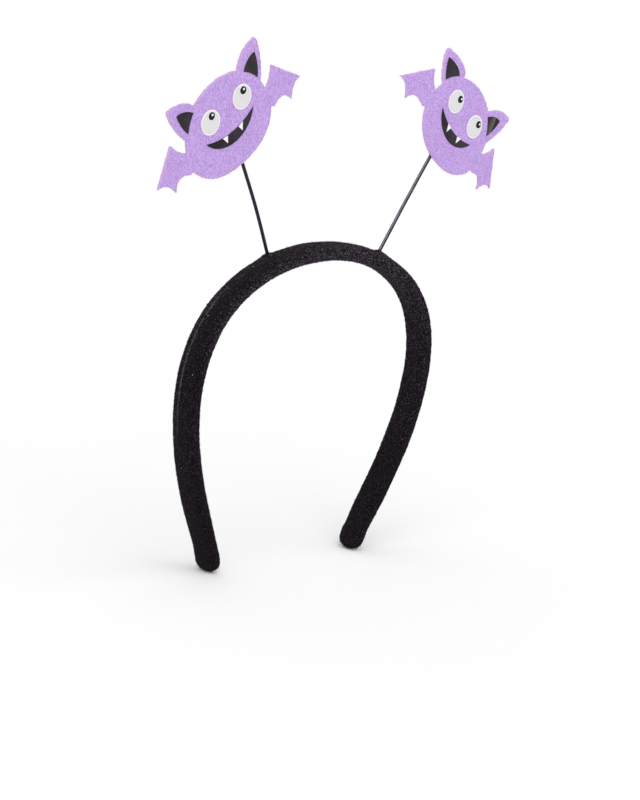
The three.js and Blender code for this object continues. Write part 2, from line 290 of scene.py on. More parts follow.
def makeVelvet(v):
    # black pile: nearly black between the tufts, lighter on their ends, more so where the painted light is
    # high, and on the crease
    material, tree, shader = startMaterial("blackVelvet", v["shader"])
    flecks = useGroup(tree, clothFlecks, attribute(tree, "pilePlace", "Vector"), v["fleck"])
    # painted light and shade: where it is low fewer fibre ends show, kept at one brightness and then dimmed
    # by it
    paintedLight = attribute(tree, "paintedLight")
    least = between(tree, paintedLight, v["speckInShade"], v["speckStart"])
    specks = ramp(tree, flecks["Fibre"], least, 1.0)
    ends = math2(tree, specks, between(tree, flecks["Tuft"], *v["tufts"]))
    gain = math2(tree, 1 - v["speckStart"], math2(tree, 1.0, least, "SUBTRACT"), "DIVIDE")
    shown = math2(tree, ends, math2(tree, paintedLight, gain))
    colour = mixColour(tree, shown, v["deep"], v["lit"])
    worn = ramp(tree, flecks["Fibre"], *v["worn"])
    crease = math2(tree, attribute(tree, "crease"), worn)
    tree.links.new(mixColour(tree, crease, colour, v["crease"]), shader.inputs["Base Color"])
    addBump(tree, shader, flecks["Height"], v)
    return material


feltLook = dict(
    deep=(0.325, 0.178, 0.540), pale=(0.752, 0.532, 0.982), wall=(0.69, 0.435, 0.765),
    fleck=0.0004, shares=dict(Fibre=0.86, Tuft=0.10, Cloud=0.04), bump=0.5, relief=0.00025,
    combed=55, drawn=(1.9, 0.85, 1.0),  # degrees from the bat's x that fibres run, and their stretch
    shader={"Roughness": 0.95, "Specular IOR Level": 0.08, "Sheen Weight": 0.15, "Sheen Roughness": 0.6,
            "Sheen Tint": (0.9, 0.82, 1.0, 1)},
)


def makeFelt(v):
    # lilac wool felt: matted fibres from deep to pale, combed one way, pinker and paler on the cut wall
    material, tree, shader = startMaterial("lilacFelt", v["shader"])
    turn = (0, 0, math.radians(v["combed"]))
    combed = addNode(tree, "Mapping", {"vector_type": "TEXTURE"}, Scale=v["drawn"], Rotation=turn,
                     Vector=attribute(tree, "feltPlace", "Vector"))
    flecks = useGroup(tree, clothFlecks, combed.outputs["Vector"], v["fleck"])
    fibre, tuft, cloud = (math2(tree, flecks[name], share) for name, share in v["shares"].items())
    shade = math2(tree, math2(tree, fibre, tuft, "ADD"), cloud, "ADD")
    matted = mixColour(tree, shade, v["deep"], v["pale"])
    walled = mixColour(tree, attribute(tree, "cutWall"), matted, v["wall"])
    tree.links.new(walled, shader.inputs["Base Color"])
    addBump(tree, shader, flecks["Height"], v)
    return material


def startGrained(name, v, roughness):
    # rougher at the wipe marks, raised at the grain; they follow the felt's flat frame, or the object itself
    material, tree, shader = startMaterial(name, v["shader"])
    onObject = v.get("onObject") and addNode(tree, "TexCoord").outputs["Object"]
    grain = useGroup(tree, vinylGrain, onObject or attribute(tree, "feltPlace", "Vector"), v["grain"])
    tree.links.new(between(tree, grain["Mark"], *roughness), shader.inputs["Roughness"])
    addBump(tree, shader, grain["Height"], v)
    return material, tree, shader.inputs["Base Color"], grain


vinylLook = dict(
    grain=0.0009, bump=0.12, relief=0.00005, shader={"Specular IOR Level": 0.2},
    # the third colour of each is its painted highlight
    shades=dict(  # deepest, palest and shining colour, least and most roughness
        blackVinyl=((0.005, 0.0015, 0.006), (0.052, 0.036, 0.056), (0.19, 0.175, 0.15), (0.36, 0.5)),
        pupilVinyl=((0.003, 0.0005, 0.008), (0.022, 0.009, 0.028), (0.19, 0.175, 0.15), (0.36, 0.5)),
        whiteVinyl=((0.86, 0.86, 0.85), (0.93, 0.93, 0.92), (0.8, 0.8, 0.8), (0.36, 0.5)),
        paleLint=((0.5, 0.49, 0.5), (0.8, 0.79, 0.8), (0.6, 0.6, 0.6), (0.74, 0.88)),
    ),
)


def makeVinyl(name, v):
    # thin satin vinyl: two close shades, mixed towards a painted highlight colour where the mesh asks for
    # one
    deep, pale, highlightColour, roughness = v["shades"][name]
    material, tree, colour, grain = startGrained(name, v, roughness)
    shade = mixColour(tree, math2(tree, grain["Mark"], grain["Height"]), deep, pale)
    tree.links.new(mixColour(tree, attribute(tree, "paintedHighlight"), shade, highlightColour), colour)
    return material


eyeLook = dict(
    fill=(0.71, 0.695, 0.715), white=(0.86, 0.85, 0.84), line=(0.58, 0.57, 0.60),
    lineAt=(0.77, 0.83), rimAt=(0.83, 0.89), haloAt=(0.43, 0.36),  # shares of the radius
    mottle=0.12, grain=0.0009, roughness=(0.42, 0.55), bump=0.1, relief=0.00005,
    shader={"Specular IOR Level": 0.15},
)


def makeEyeVinyl(v):
    # pale eye: a warm grey field, a darker line and a white rim round it, and a white halo about the pupil
    material, tree, colour, grain = startGrained("eyeVinyl", v, v["roughness"])
    share = attribute(tree, "rimShare")
    halo = ramp(tree, attribute(tree, "haloShare"), *v["haloAt"])
    field = mixColour(tree, math2(tree, grain["Mark"], v["mottle"]), v["fill"], v["white"])
    lined = mixColour(tree, ramp(tree, share, *v["lineAt"]), field, v["line"])
    white = math2(tree, ramp(tree, share, *v["rimAt"]), halo, "MAXIMUM")
    tree.links.new(mixColour(tree, white, lined, v["white"]), colour)
    return material


wireLook = dict(
    deep=(0.009, 0.005, 0.017), pale=(0.015, 0.009, 0.026),
    grain=0.0005, roughness=(0.14, 0.22), bump=0.08, relief=0.00002, onObject=True,
    shader={"Specular IOR Level": 0.22, "Specular Tint": (0.9, 0.8, 1.0, 1)},
)


def makeWireCoat(v):
    # black enamelled wire with a satin shine and small scuffs
    material, tree, colour, grain = startGrained("wireCoat", v, v["roughness"])
    tree.links.new(mixColour(tree, grain["Mark"], v["deep"], v["pale"]), colour)
    return material


velvet = makeVelvet(velvetLook)
lilacFelt = makeFelt(feltLook)
blackVinyl, pupilVinyl, whiteVinyl, paleLint = (makeVinyl(name, vinylLook) for name in vinylLook["shades"])
eyeVinyl = makeEyeVinyl(eyeLook)
wireCoat = makeWireCoat(wireLook)
print("materials")


# Mesh helpers


def meshPiece(name, points, faceSets, material, node=None, attributes=None):
    # points in millimetres; each face set is an array of triangles or quads; node is the solid it stands for
    mesh = bpy.data.meshes.new(name)
    faces = [face for faces in faceSets for face in faces.tolist()]
    mesh.from_pydata((points * mm).tolist(), [], faces, shade_flat=False)
    for label, values in (attributes or {}).items():
        kind, key = ("FLOAT_VECTOR", "vector") if values.ndim == 2 else ("FLOAT", "value")
        layer = mesh.attributes.new(label, kind, "POINT")
        layer.data.foreach_set(key, values.astype(np.float32).ravel())
    mesh.validate()
    mesh.materials.append(material)
    piece = addObject(name, mesh)
    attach(piece, "root")
    if node:
        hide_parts(node)
    return piece


def tubeFaces(rings, sides):
    # quads between neighbouring closed rings, and a fan at each end to a pole numbered after the rings
    ring, side = np.meshgrid(np.arange(rings - 1) * sides, np.arange(sides), indexing="ij")
    after = (side + 1) % sides
    quads = np.stack([ring + side, ring + after, ring + sides + after, ring + sides + side], -1)
    side, after = side[0], after[0]
    pole = np.full(sides, rings * sides)
    last = pole - sides
    caps = [np.stack([pole, after, side], -1), np.stack([pole + 1, last + side, last + after], -1)]
    return [quads.reshape(-1, 4), join(caps)]


waveLengths = (0.6, 1.6)  # shares of the size


def waves(points, v, shift=0):
    # soft relief: a sum of plane waves with random headings and lengths near the size
    rng = np.random.default_rng(v["seed"] + shift)
    headings = rng.normal(size=(v["count"], points.shape[1]))
    headings /= np.linalg.norm(headings, axis=1, keepdims=True)
    headings *= 2 * np.pi / (v["size"] * rng.uniform(*waveLengths, (v["count"], 1)))
    phases = rng.uniform(0, 2 * np.pi, v["count"])
    return v["height"] * (np.cos(points @ headings.T + phases).sum(1) / math.sqrt(v["count"] / 2))


def unit(vectors):
    return vectors / np.maximum(np.linalg.norm(vectors, axis=-1, keepdims=True), 1e-12)


def smoothstep(values, low, high):
    share = np.clip((values - low) / (high - low), 0, 1)
    return share * share * (3 - 2 * share)


fibreTaper = 0.75  # share of the width lost towards the point
fibreSkew = np.array([0.31, 0.17, 0.93])  # lies along no fibre


def fibreMesh(rng, v, roots, headings, droop):
    # bent spikes: rings of three points that shrink along root + heading*t + droop*t*t, closed by a point
    count, levels = len(roots), v["levels"]
    length = rng.uniform(*v["length"], count)
    if "shorter" in v:
        length *= rng.uniform(*v["shorter"], count)
    width = rng.uniform(*v["width"], count)
    width[0] = v.get("firstWidth", width[0])
    across = unit(np.cross(headings, droop + fibreSkew))
    other = unit(np.cross(headings, across))
    t = np.arange(levels) / levels
    turn = np.arange(3) * 2 * np.pi / 3
    spread = across[:, None] * np.cos(turn)[:, None] + other[:, None] * np.sin(turn)[:, None]
    run = length[:, None, None]
    ahead = headings[:, None] * t[:, None] * run
    spine = roots[:, None] + ahead + droop[:, None] * t[:, None] ** 2 * run
    girth = width[:, None] * (1 - fibreTaper * t)
    rings = spine[:, :, None, :] + spread[:, None] * girth[:, :, None, None]
    tips = roots + (headings + droop) * length[:, None]
    each = levels * 3 + 1
    points = join([rings.reshape(count, levels * 3, 3), tips[:, None]], 1).reshape(-1, 3)
    low = np.arange(levels - 1)[:, None] * 3
    side = np.arange(3)[None, :]
    after = (side + 1) % 3
    walls = np.stack([low + side, low + after, low + 3 + after, low + 3 + side], -1).reshape(-1, 4)
    last = (levels - 1) * 3
    caps = np.array([[0, 2, 1]] + [[last + k, last + (k + 1) % 3, each - 1] for k in range(3)])
    base = np.arange(count)[:, None, None] * each
    sets = [(caps[None] + base).reshape(-1, 3)]
    if levels > 1:
        sets.append((walls[None] + base).reshape(-1, 4))
    return points, sets


# Velvet band

cover = dict(
    width=12.2, thickness=7.2, squareness=3.0,
    halfLength=190.0, tipLength=5.0, tipBluntness=2.4,
    taperStart=0.84, taper=0.11, foldLength=10.0, foldStep=2.0, foldSwell=0.055,
    rings=700, tipRings=14, sides=84, outlineSteps=2001,
    wireBack=2.1, swell=1.35, swellAlong=3.0, swellAcross=3.4, ridgeLength=9.0,
    collar=0.7, collarReach=1.3,  # velvet drawn up to a point at the wire
    lumps=dict(height=0.05, size=22.0, count=24, seed=3),
    tufts=dict(height=0.07, size=1.2, count=40, seed=4),
    core=0.3,  # share of the section that the pile points away from
    creaseY=1.7, creaseWidth=0.32, creaseDepth=0.12,
    creaseRise=(-128.0, -103.0), creaseFade=(-70.0, -58.0),
)
arch = dict(  # bend from the crown to a tip; a negative radius flares out
    step=0.5,
    share=(0, 0.125, 0.25, 0.375, 0.5, 0.625, 0.75, 0.875, 0.94, 0.965, 1),
    radius=(112, 104, 69, 44.5, 56, 103, 146, 400, -130, -36, -36),
)
stemLean = 30.3
stemRidges = dict(left=0.0, right=0.4)
footSearch = (5, 80, 1501)  # along the arch from, to, and in how many places
sideSigns = dict(left=-1, right=1)


def makeArch(v):
    # slope adds up the bends and place adds up the slopes, in small steps
    step = v["step"]
    s = np.arange(0, cover["halfLength"] + step / 2, step)
    share = (s[:-1] + step / 2) / cover["halfLength"]
    bend = np.interp(share, v["share"], 1 / np.array(v["radius"]))
    slope = join([[0], np.cumsum(bend * step)])
    middle = (slope[:-1] + slope[1:]) / 2
    x = join([[0], np.cumsum(np.cos(middle) * step)])
    z = cover["thickness"] / 2 - join([[0], np.cumsum(np.sin(middle) * step)])

    def at(where):
        # points and outward normals at distances from the crown, mirrored for negative ones
        sign = np.sign(where) + (where == 0)
        away = np.abs(where)
        tilt = np.interp(away, s, slope)
        zero = np.zeros_like(away)
        point = np.stack([sign * np.interp(away, s, x), zero, np.interp(away, s, z)], -1)
        normal = np.stack([sign * np.sin(tilt), zero, np.cos(tilt)], -1)
        return point, normal

    return at


archAt = makeArch(arch)


def stemAxis(side):
    # middle, heading, half length and radius of a stem, from its solid's box
    low, high = (np.array(corner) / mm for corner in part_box(f"wire_stem_{side}"))
    lean = math.radians(stemLean) * sideSigns[side]
    heading = np.array([math.sin(lean), 0, math.cos(lean)])
    radius = (high[1] - low[1]) / 2
    half = ((high[2] - low[2]) / 2 - radius * abs(heading[0])) / heading[2]
    return (low + high) / 2, heading, half, radius


def stemFoot(side):
    # distance along the arch where the stem leaves the outer face
    s = sideSigns[side] * np.linspace(*footSearch)
    point, normal = archAt(s)
    outer = point + normal * cover["thickness"] / 2
    middle, heading, _, _ = stemAxis(side)
    offset = outer - middle
    offset[:, 1] = 0
    gap = np.linalg.norm(offset - (offset @ heading)[:, None] * heading, axis=1)
    return s[gap.argmin()]


def sectionOutline(v):
    # superellipse around the band, spaced evenly along its length: across and outward
    turn = np.linspace(0, 2 * np.pi, v["outlineSteps"])
    power = 2 / v["squareness"]
    sine, cosine = np.sin(turn), np.cos(turn)
    across = np.sign(cosine) * np.abs(cosine) ** power * v["width"] / 2
    out = np.sign(sine) * np.abs(sine) ** power * v["thickness"] / 2
    run = join([[0], np.cumsum(np.hypot(np.diff(across), np.diff(out)))])
    where = np.arange(v["sides"]) / v["sides"] * run[-1]
    return np.interp(where, run, across), np.interp(where, run, out), where


def sectionShare(s, v):
    # slimming down the leg, fuller at the fold, rounded off at the tip
    fromTip = v["halfLength"] - np.abs(s)
    slim = 1 - v["taper"] * smoothstep(np.abs(s) / v["halfLength"], v["taperStart"], 1)
    fold = 1 - smoothstep(fromTip, v["foldLength"] - v["foldStep"], v["foldLength"])
    into = np.clip(1 - fromTip / v["tipLength"], 0, 1)
    return slim * (1 + v["foldSwell"] * fold) * (1 - into ** v["tipBluntness"]) ** (1 / v["tipBluntness"])


def bandStations(v):
    # even steps along the arch, closing up as a sine over the tips
    straight = v["halfLength"] - v["tipLength"]
    turn = np.arange(1, v["tipRings"]) / v["tipRings"] * np.pi / 2
    tip = straight + v["tipLength"] * np.sin(turn)
    return join([-tip[::-1], np.linspace(-straight, straight, v["rings"]), tip])


# painted light and shade on the pile, along the arch and round the section from its back edge over the outer
# face
paintedPileLight = dict(
    crown=1.17, crownAt=16.0, leftReach=40.0, rightReach=60.0, legs=0.38,
    lowFrom=128.0, lowTo=152.0, low=0.36,  # share lost low on the legs
    # painted shade on the outer front corner
    laidAt=11.0, laidWidth=3.6, laid=0.32,  # share lost on the outer front corner
    # painted light along edges of the left bend: place round the section, width, share gained, start and end
    # of its rise
    edgeLight=dict(innerFront=(18.0, 3.0, 0.95, -98.0, -66.0), outerBack=(5.6, 2.6, 0.4, -100.0, -60.0)),
)


def paintedLightShare(s, girth, v):
    # painted light: most about the crown, less on the legs, least low down; painted shade on one corner,
    # painted light along two edges
    past = s - v["crownAt"]
    crown = np.exp(-(past / np.where(past < 0, v["leftReach"], v["rightReach"])) ** 2)
    legs = v["legs"] * (1 - v["low"] * smoothstep(np.abs(s), v["lowFrom"], v["lowTo"]))
    laid = v["laid"] * np.exp(-((girth - v["laidAt"]) / v["laidWidth"]) ** 2) * (1 - crown)
    edgeLight = sum(gain * np.exp(-((girth - place) / width) ** 2) * smoothstep(s, low, high)
                for place, width, gain, low, high in v["edgeLight"].values())
    return (legs + (v["crown"] - legs) * crown) * (1 - laid) + edgeLight * (1 - crown) * (s < v["crownAt"])


def bandSurface(v):
    # grid of stations along the arch by places round the section, raised at the stems, creased, with painted
    # light and shade on the pile
    s = bandStations(v)
    across, out, girth = sectionOutline(v)
    along, y = np.meshgrid(s, across, indexing="ij")
    point, normal = archAt(s)
    share = sectionShare(s, v)
    outward = np.maximum(out, 0) / (v["thickness"] / 2)
    lift = np.zeros_like(along)
    for side, sign in sideSigns.items():
        beyond = (along - stemFoot(side)) * sign
        aside = y - v["wireBack"]
        past = beyond - np.clip(beyond, 0, stemRidges[side] * v["ridgeLength"])
        tent = np.exp(-((past / v["swellAlong"]) ** 2) - (aside / v["swellAcross"]) ** 2)
        collar = np.exp(-np.hypot(beyond, aside) / v["collarReach"])
        lift += v["swell"] * tent + v["collar"] * collar
    fade = smoothstep(along, *v["creaseRise"]) * (1 - smoothstep(along, *v["creaseFade"]))
    fromCrease = (y - v["creaseY"]) / v["creaseWidth"]
    crease = np.exp(-fromCrease ** 2) * fade * (outward > 0.5)  # on the outer face alone
    lift -= v["creaseDepth"] * fromCrease * np.exp(-fromCrease ** 2 / 2) * fade
    rise = out[None, :] * share[:, None] + outward[None, :] * lift
    surface = point[:, None] + normal[:, None] * rise[:, :, None]
    surface[:, :, 1] = y * share[:, None]
    flat = np.stack([along, np.broadcast_to(girth, along.shape), np.zeros_like(along)], -1)
    heading = unit(surface - (point[:, None] + normal[:, None] * out[None, :, None] * v["core"]))
    spots = surface.reshape(-1, 3)
    rough = (waves(spots, v["lumps"]) + waves(spots, v["tufts"])).reshape(along.shape)
    keep = smoothstep(share, 0.0, 0.5)[:, None]  # smooth towards the poles
    surface = surface + heading * (rough * keep)[:, :, None]
    return surface, flat, crease, paintedLightShare(along, flat[:, :, 1], paintedPileLight)


def gridNormals(surface):
    # the way around crossed with the way along
    along = np.gradient(surface, axis=0)
    around = np.roll(surface, -1, 1) - np.roll(surface, 1, 1)
    return unit(np.cross(around, along))


def makeVelvetBand(v):
    # the surface closed by a pole at each tip
    surface, flat, crease, paintedLight = bandSurface(v)
    tips = np.array([-v["halfLength"], v["halfLength"]])
    poles = np.stack([tips, [0, 0], [0, 0]], -1)
    points = join([surface.reshape(-1, 3), archAt(tips)[0]])
    attributes = {
        "pilePlace": join([flat.reshape(-1, 3), poles]) * mm,
        "crease": join([crease.ravel(), [0, 0]]),
        "paintedLight": join([paintedLight.ravel(), [0, 0]]),
    }
    faces = tubeFaces(*surface.shape[:2])
    piece = meshPiece("velvet_cover", points, faces, velvet, "velvet_band", attributes)
    return surface, flat


def scatterOnBand(band, count, rng, rows):
    # random places between grid points, with their normals, headings along the arch and flat places
    surface, flat = band
    rings, sides = surface.shape[:2]
    ring = rng.integers(*(np.array(rows) % rings), count)
    side = rng.integers(0, sides, count)
    u = rng.random((count, 1))
    w = rng.random((count, 1))
    after = (side + 1) % sides

    def blend(grid):
        low = grid[ring, side] * (1 - w) + grid[ring, after] * w
        high = grid[ring + 1, side] * (1 - w) + grid[ring + 1, after] * w
        return low * (1 - u) + high * u

    along = unit(surface[ring + 1, side] - surface[ring, side])
    return blend(surface), unit(blend(gridNormals(surface))), along, flat[ring, side]


def pileAttributes(place, count):
    # every point of a fibre takes its root's place on the velvet
    spread = np.repeat(place, count // len(place), 0)
    paintedLight = paintedLightShare(spread[:, 0], spread[:, 1], paintedPileLight)
    return {"pilePlace": spread * mm, "crease": np.zeros(count), "paintedLight": paintedLight}


pile = dict(
    count=36000, length=(0.28, 0.62), width=(0.04, 0.075), scatter=0.45, sunk=0.05,
    rows=(14, -15), levels=1, seed=11,
)


def makePile(band, v):
    # short pile: spikes standing on the velvet, each leaning its own way
    rng = np.random.default_rng(v["seed"])
    count = v["count"]
    roots, normals, _, place = scatterOnBand(band, count, rng, v["rows"])
    headings = unit(normals + rng.normal(0, v["scatter"], (count, 3)))
    points, faces = fibreMesh(rng, v, roots - normals * v["sunk"], headings, headings * 0)
    meshPiece("velvet_pile", points, faces, velvet, None, pileAttributes(place, len(points)))


lint = dict(
    count=30, length=(0.35, 0.7), width=(0.07, 0.13), firstWidth=0.26,
    scatter=0.4, raised=0.5, curl=0.1, rows=(60, -60), levels=2, seed=14,
    spots=((-73.5, -0.4), (-69.5, 0.9), (-96.5, -3.8)),  # along and across, of the first ones
)


def makeLint(band, v):
    # a few pale specks caught in the pile, three of them at set places on the near bend
    rng = np.random.default_rng(v["seed"])
    count = v["count"]
    roots, normals, along, _ = scatterOnBand(band, count, rng, v["rows"])
    surface, flat = band
    facing = gridNormals(surface)
    for k, (s, y) in enumerate(v["spots"]):
        away = np.hypot(flat[:, :, 0] - s, surface[:, :, 1] - y)
        away[facing[:, :, 0] > 0] = np.inf
        spot = np.unravel_index(away.argmin(), away.shape)
        roots[k], normals[k] = surface[spot], facing[spot]
    headings = unit(along * rng.normal(0, 1, (count, 1)) + rng.normal(0, v["scatter"], normals.shape))
    headings = unit(headings - normals * (headings * normals).sum(1, keepdims=True))
    points, faces = fibreMesh(rng, v, roots + normals * v["raised"], headings, normals * v["curl"])
    meshPiece("velvet_lint", points, faces, paleLint, None, {"feltPlace": points * mm})


fray = dict(
    count=520, length=(0.9, 2.2), shorter=(0.3, 1), width=(0.035, 0.06), levels=3,
    tips=((0, 9), (-10, -1)),  # first and last row of each
    outward=0.8, onward=0.7, scatter=0.3, droop=0.3, press=0.3, seed=12,
)


def makeFray(band, v):
    # loose threads at both tips, where the cover is folded in; below the tips they are pressed flat
    rng = np.random.default_rng(v["seed"])
    half = v["count"] // 2
    parts = [scatterOnBand(band, half, rng, rows) for rows in v["tips"]]
    roots, normals, along, place = (join(columns) for columns in zip(*parts))
    onward = np.repeat([-1.0, 1.0], half)[:, None] * along
    scatter = rng.normal(0, v["scatter"], normals.shape)
    headings = unit(normals * v["outward"] + onward * v["onward"] + scatter)
    points, faces = fibreMesh(rng, v, roots, headings, rng.normal(0, v["droop"], normals.shape))
    below = np.maximum(cadBox[0].z / mm - points[:, 2], 0)
    points[:, 2] += below - v["press"] * (1 - np.exp(-below / v["press"]))
    meshPiece("tip_fray", points, faces, velvet, None, pileAttributes(place, len(points)))


velvetBand = makeVelvetBand(cover)
makePile(velvetBand, pile)
makeLint(velvetBand, lint)
makeFray(velvetBand, fray)
print("velvet band")


# Wire stems

stem = dict(
    rings=80, sides=20, coat=0.1, endGirth=0.02,
    # how far it bows, where along -1 to 1 it bows most, how far its upper half leans
    bow=dict(left=(0.3, -0.3, -0.55), right=(-0.25, 0.05, 0.0)),
    bowTurn=2.5, leanOver=(-0.2, 0.5), waver=0.02, waverTurn=9,
)


def makeStem(side, v):
    # round wire along its straight axis with a slight bow, both ends rounded off
    middle, heading, half, radius = stemAxis(side)
    radius += v["coat"]
    t = np.linspace(-1, 1, v["rings"])
    across = np.array([heading[2], 0, -heading[0]])
    size, peak, lean = v["bow"][side]
    bow = size * np.cos((t - peak) * v["bowTurn"]) + lean * smoothstep(t, *v["leanOver"])
    bow += v["waver"] * np.sin(t * v["waverTurn"] + sideSigns[side])
    spine = middle + heading * (t * half)[:, None] + across * bow[:, None]
    ends = np.clip((1 - np.abs(t)) * half / radius, 0, 1)
    girth = radius * np.sqrt(np.maximum(1 - (1 - ends) ** 2, v["endGirth"] ** 2))
    turn = np.arange(v["sides"]) / v["sides"] * 2 * np.pi
    spread = across * np.cos(turn)[:, None] + np.array([0, 1, 0]) * np.sin(turn)[:, None]
    rings = spine[:, None] + spread[None] * girth[:, None, None]
    points = join([rings.reshape(-1, 3), spine[[0, -1]]])
    faces = tubeFaces(v["rings"], v["sides"])
    meshPiece(f"stem_{side}", points, faces, wireCoat, f"wire_stem_{side}")


for stemSide in sideSigns:
    makeStem(stemSide, stem)
print("wire stems")


# Felt bats: outline points in millimetres from the middle of the body, +x half

felt = dict(
    thickness=1.5, frontY=0.2, halfWidth=24.1, halfHeight=20.3,
    chin=(0, -19.0), chinBow=(12.5, -19.0), cheek=(20.0, -14.4),
    edge=0.45, spacing=0.55, step=0.4, wallSteps=3,
    wallFade=0.45, wallOnFace=0.65,  # how far in the cut's colour goes, and its share there
    waver=dict(height=0.07, size=2.6, count=24, seed=30),
    relief=dict(height=0.035, size=1.6, count=40, seed=40),
    # hump on the back over the wire: height, half width, fade at the felt's edge, rise and fall along it
    ridgeHeight=2.2, ridgeHalf=2.9, ridgeFade=1.5,
    ridgeRise=(-2.2, 0.6), ridgeFall=(16.0, 20.0),
)
ear = dict(
    innerAngle=58.5, outerAngle=20, innerBow=(17.8, 23.4), tipStart=(25.2, 23.7),
    tip=(27.6, 24.5), tipEnd=(27.4, 21.6), outerBow=(26.6, 14.2),
)
wing = dict(
    upperAngle=6, shoulderBow=(27.3, 3.4), shoulder=(30.0, 9.35), point=(43, -4),
    firstScallop=(37.6, -3.4), middle=(34.9, -10), secondScallop=(32.2, -3.4),
    heel=(25.1, -7.35), notch=(23.5, -6.5), root=22.0,
    pit=0.975,  # share of the oval between wing and ear
    below=2, parting=1.2,  # the line that parts wing and ear: its drop under the ear, its slope
)
# how each bat sits, and its felt's size and shift against the face; of each ear and wing, a on the -x side:
# where past its base it bends back and by how many degrees, its twist in degrees, the shares by which it is
# longer and drops, and how the base and tip of an ear's vinyl are moved
bats = dict(
    left=dict(
        x=-71.6, z=56.9, roll=-34.2, size=(1.024, 1.024), shift=(-0.35, 0.05),
        ears=dict(
            a=dict(bends=((-1.0, -2),), longer=-0.03, vinylBase=(0, 0), vinylTip=(0.6, 0.3)),
            b=dict(bends=((-1.0, 5),), twist=3, vinylBase=(-0.25, 0), vinylTip=(0.45, -0.2)),
        ),
        wings=dict(
            a=dict(bends=((0, 2),), longer=-0.05, drop=-0.04),
            b=dict(bends=(), longer=-0.02, drop=0.01),
        ),
    ),
    right=dict(
        x=73.1, z=58.69, roll=35.1, size=(1.02, 1.008), shift=(0.85, 0.05),
        ears=dict(
            a=dict(bends=((-1.0, 14), (4.5, 10)), twist=14, longer=-0.07,
                   vinylBase=(0.4, 0.1), vinylTip=(1.6, 0.1)),
            b=dict(bends=((-1.0, -1),), longer=-0.04, drop=-0.05,
                   vinylBase=(-0.6, -0.45), vinylTip=(-0.35, -0.75)),
        ),
        wings=dict(
            a=dict(bends=((0, 14),), drop=0.055),
            b=dict(bends=((0, 5.5),)),
        ),
    ),
)
twistEase = 3  # millimetres over which a twist and a bend set in
bendEase = 2


def bezier(controls, step):
    # curve through its control points, sampled about every step, its end left out
    controls = np.array(controls, float)
    count = max(1, round(np.linalg.norm(np.diff(controls, axis=0), axis=1).sum() / step))
    t = (np.arange(count) / count)[:, None]
    while len(controls) > 1:
        controls = [a * (1 - t) + b * t for a, b in zip(controls[:-1], controls[1:])]
    return controls[0]


def trace(spots, paths, step):
    # the curves along each path's named points, joined
    return join([bezier([spots[name] for name in path.split()], step) for path in paths])


def ovalPoints(angles, share=1.0):
    # cosine and sine times the body's half sizes, or a share of them
    turn = np.radians(angles)
    size = np.array([felt["halfWidth"], felt["halfHeight"]]) * share
    return np.stack([np.cos(turn), np.sin(turn)], -1) * size


def ovalArc(start, end, step, share=1.0):
    # even turns along the oval from start to end, its end left out
    radius = (felt["halfWidth"] + felt["halfHeight"]) / 2 * share
    count = max(1, round(abs(math.radians(end - start)) * radius / step))
    return ovalPoints(start + (end - start) * np.arange(count) / count, share)


def batOutline(step):
    # from the chin up one side to the top of the head, then its mirror, anticlockwise
    wingTop, earFoot = ovalPoints((wing["upperAngle"], ear["outerAngle"]), wing["pit"])
    crown = ovalArc(ear["innerAngle"], 90, step)
    spots = {**felt, **wing, **ear, "wingTop": wingTop, "earFoot": earFoot, "crown": crown[0]}
    lower = ("chin chinBow cheek notch", "notch heel", "heel secondScallop middle",
             "middle firstScallop point", "point shoulder", "shoulder shoulderBow wingTop")
    upper = ("earFoot outerBow tipEnd", "tipEnd tip tipStart", "tipStart innerBow crown")
    pit = ovalArc(wing["upperAngle"], ear["outerAngle"], step, wing["pit"])
    half = join([trace(spots, lower, step), pit, trace(spots, upper, step), crown])
    other = half[:0:-1] * [-1, 1]
    return join([half, [[0, felt["halfHeight"]]], other])


def edgeDistance(points, outline):
    # least distance from each point to the outline's segments, some 40 of them at a time
    way = np.roll(outline, -1, 0) - outline
    least = np.full(len(points), np.inf)
    for part in np.array_split(np.arange(len(outline)), max(1, len(outline) // 40)):
        offset = points[:, None] - outline[None, part]
        share = (offset * way[part]).sum(2) / np.maximum((way[part] ** 2).sum(1), 1e-12)
        gap = offset - np.clip(share, 0, 1)[:, :, None] * way[part]
        least = np.minimum(least, np.sqrt((gap ** 2).sum(2)).min(1))
    return least


def wellInside(points, outline, least):
    # the points with an odd number of outline crossings to their right that are further than least from it
    first, second = outline, np.roll(outline, -1, 0)
    y = points[:, 1:2]
    spans = (first[:, 1] > y) != (second[:, 1] > y)
    rise = second[:, 1] - first[:, 1]
    rise = np.where(np.abs(rise) < 1e-12, 1e-12, rise)
    crossing = first[:, 0] + (y - first[:, 1]) / rise * (second[:, 0] - first[:, 0])
    inside = points[(spans & (points[:, 0:1] < crossing)).sum(1) % 2 == 1]
    return inside[edgeDistance(inside, outline) > least]


def outlineNormals(outline):
    # the way from the point before to the point after, turned a quarter outwards
    way = np.roll(outline, -1, 0) - np.roll(outline, 1, 0)
    return unit(np.stack([way[:, 1], -way[:, 0]], -1))


ringKeep = 0.8  # share of its inset that a ring's point keeps from the edge
gridKeep = 0.45  # share of the spacing that the grid keeps from the last ring
edgeRings = (0.12, 0.4, 1)  # shares of the rounded edge


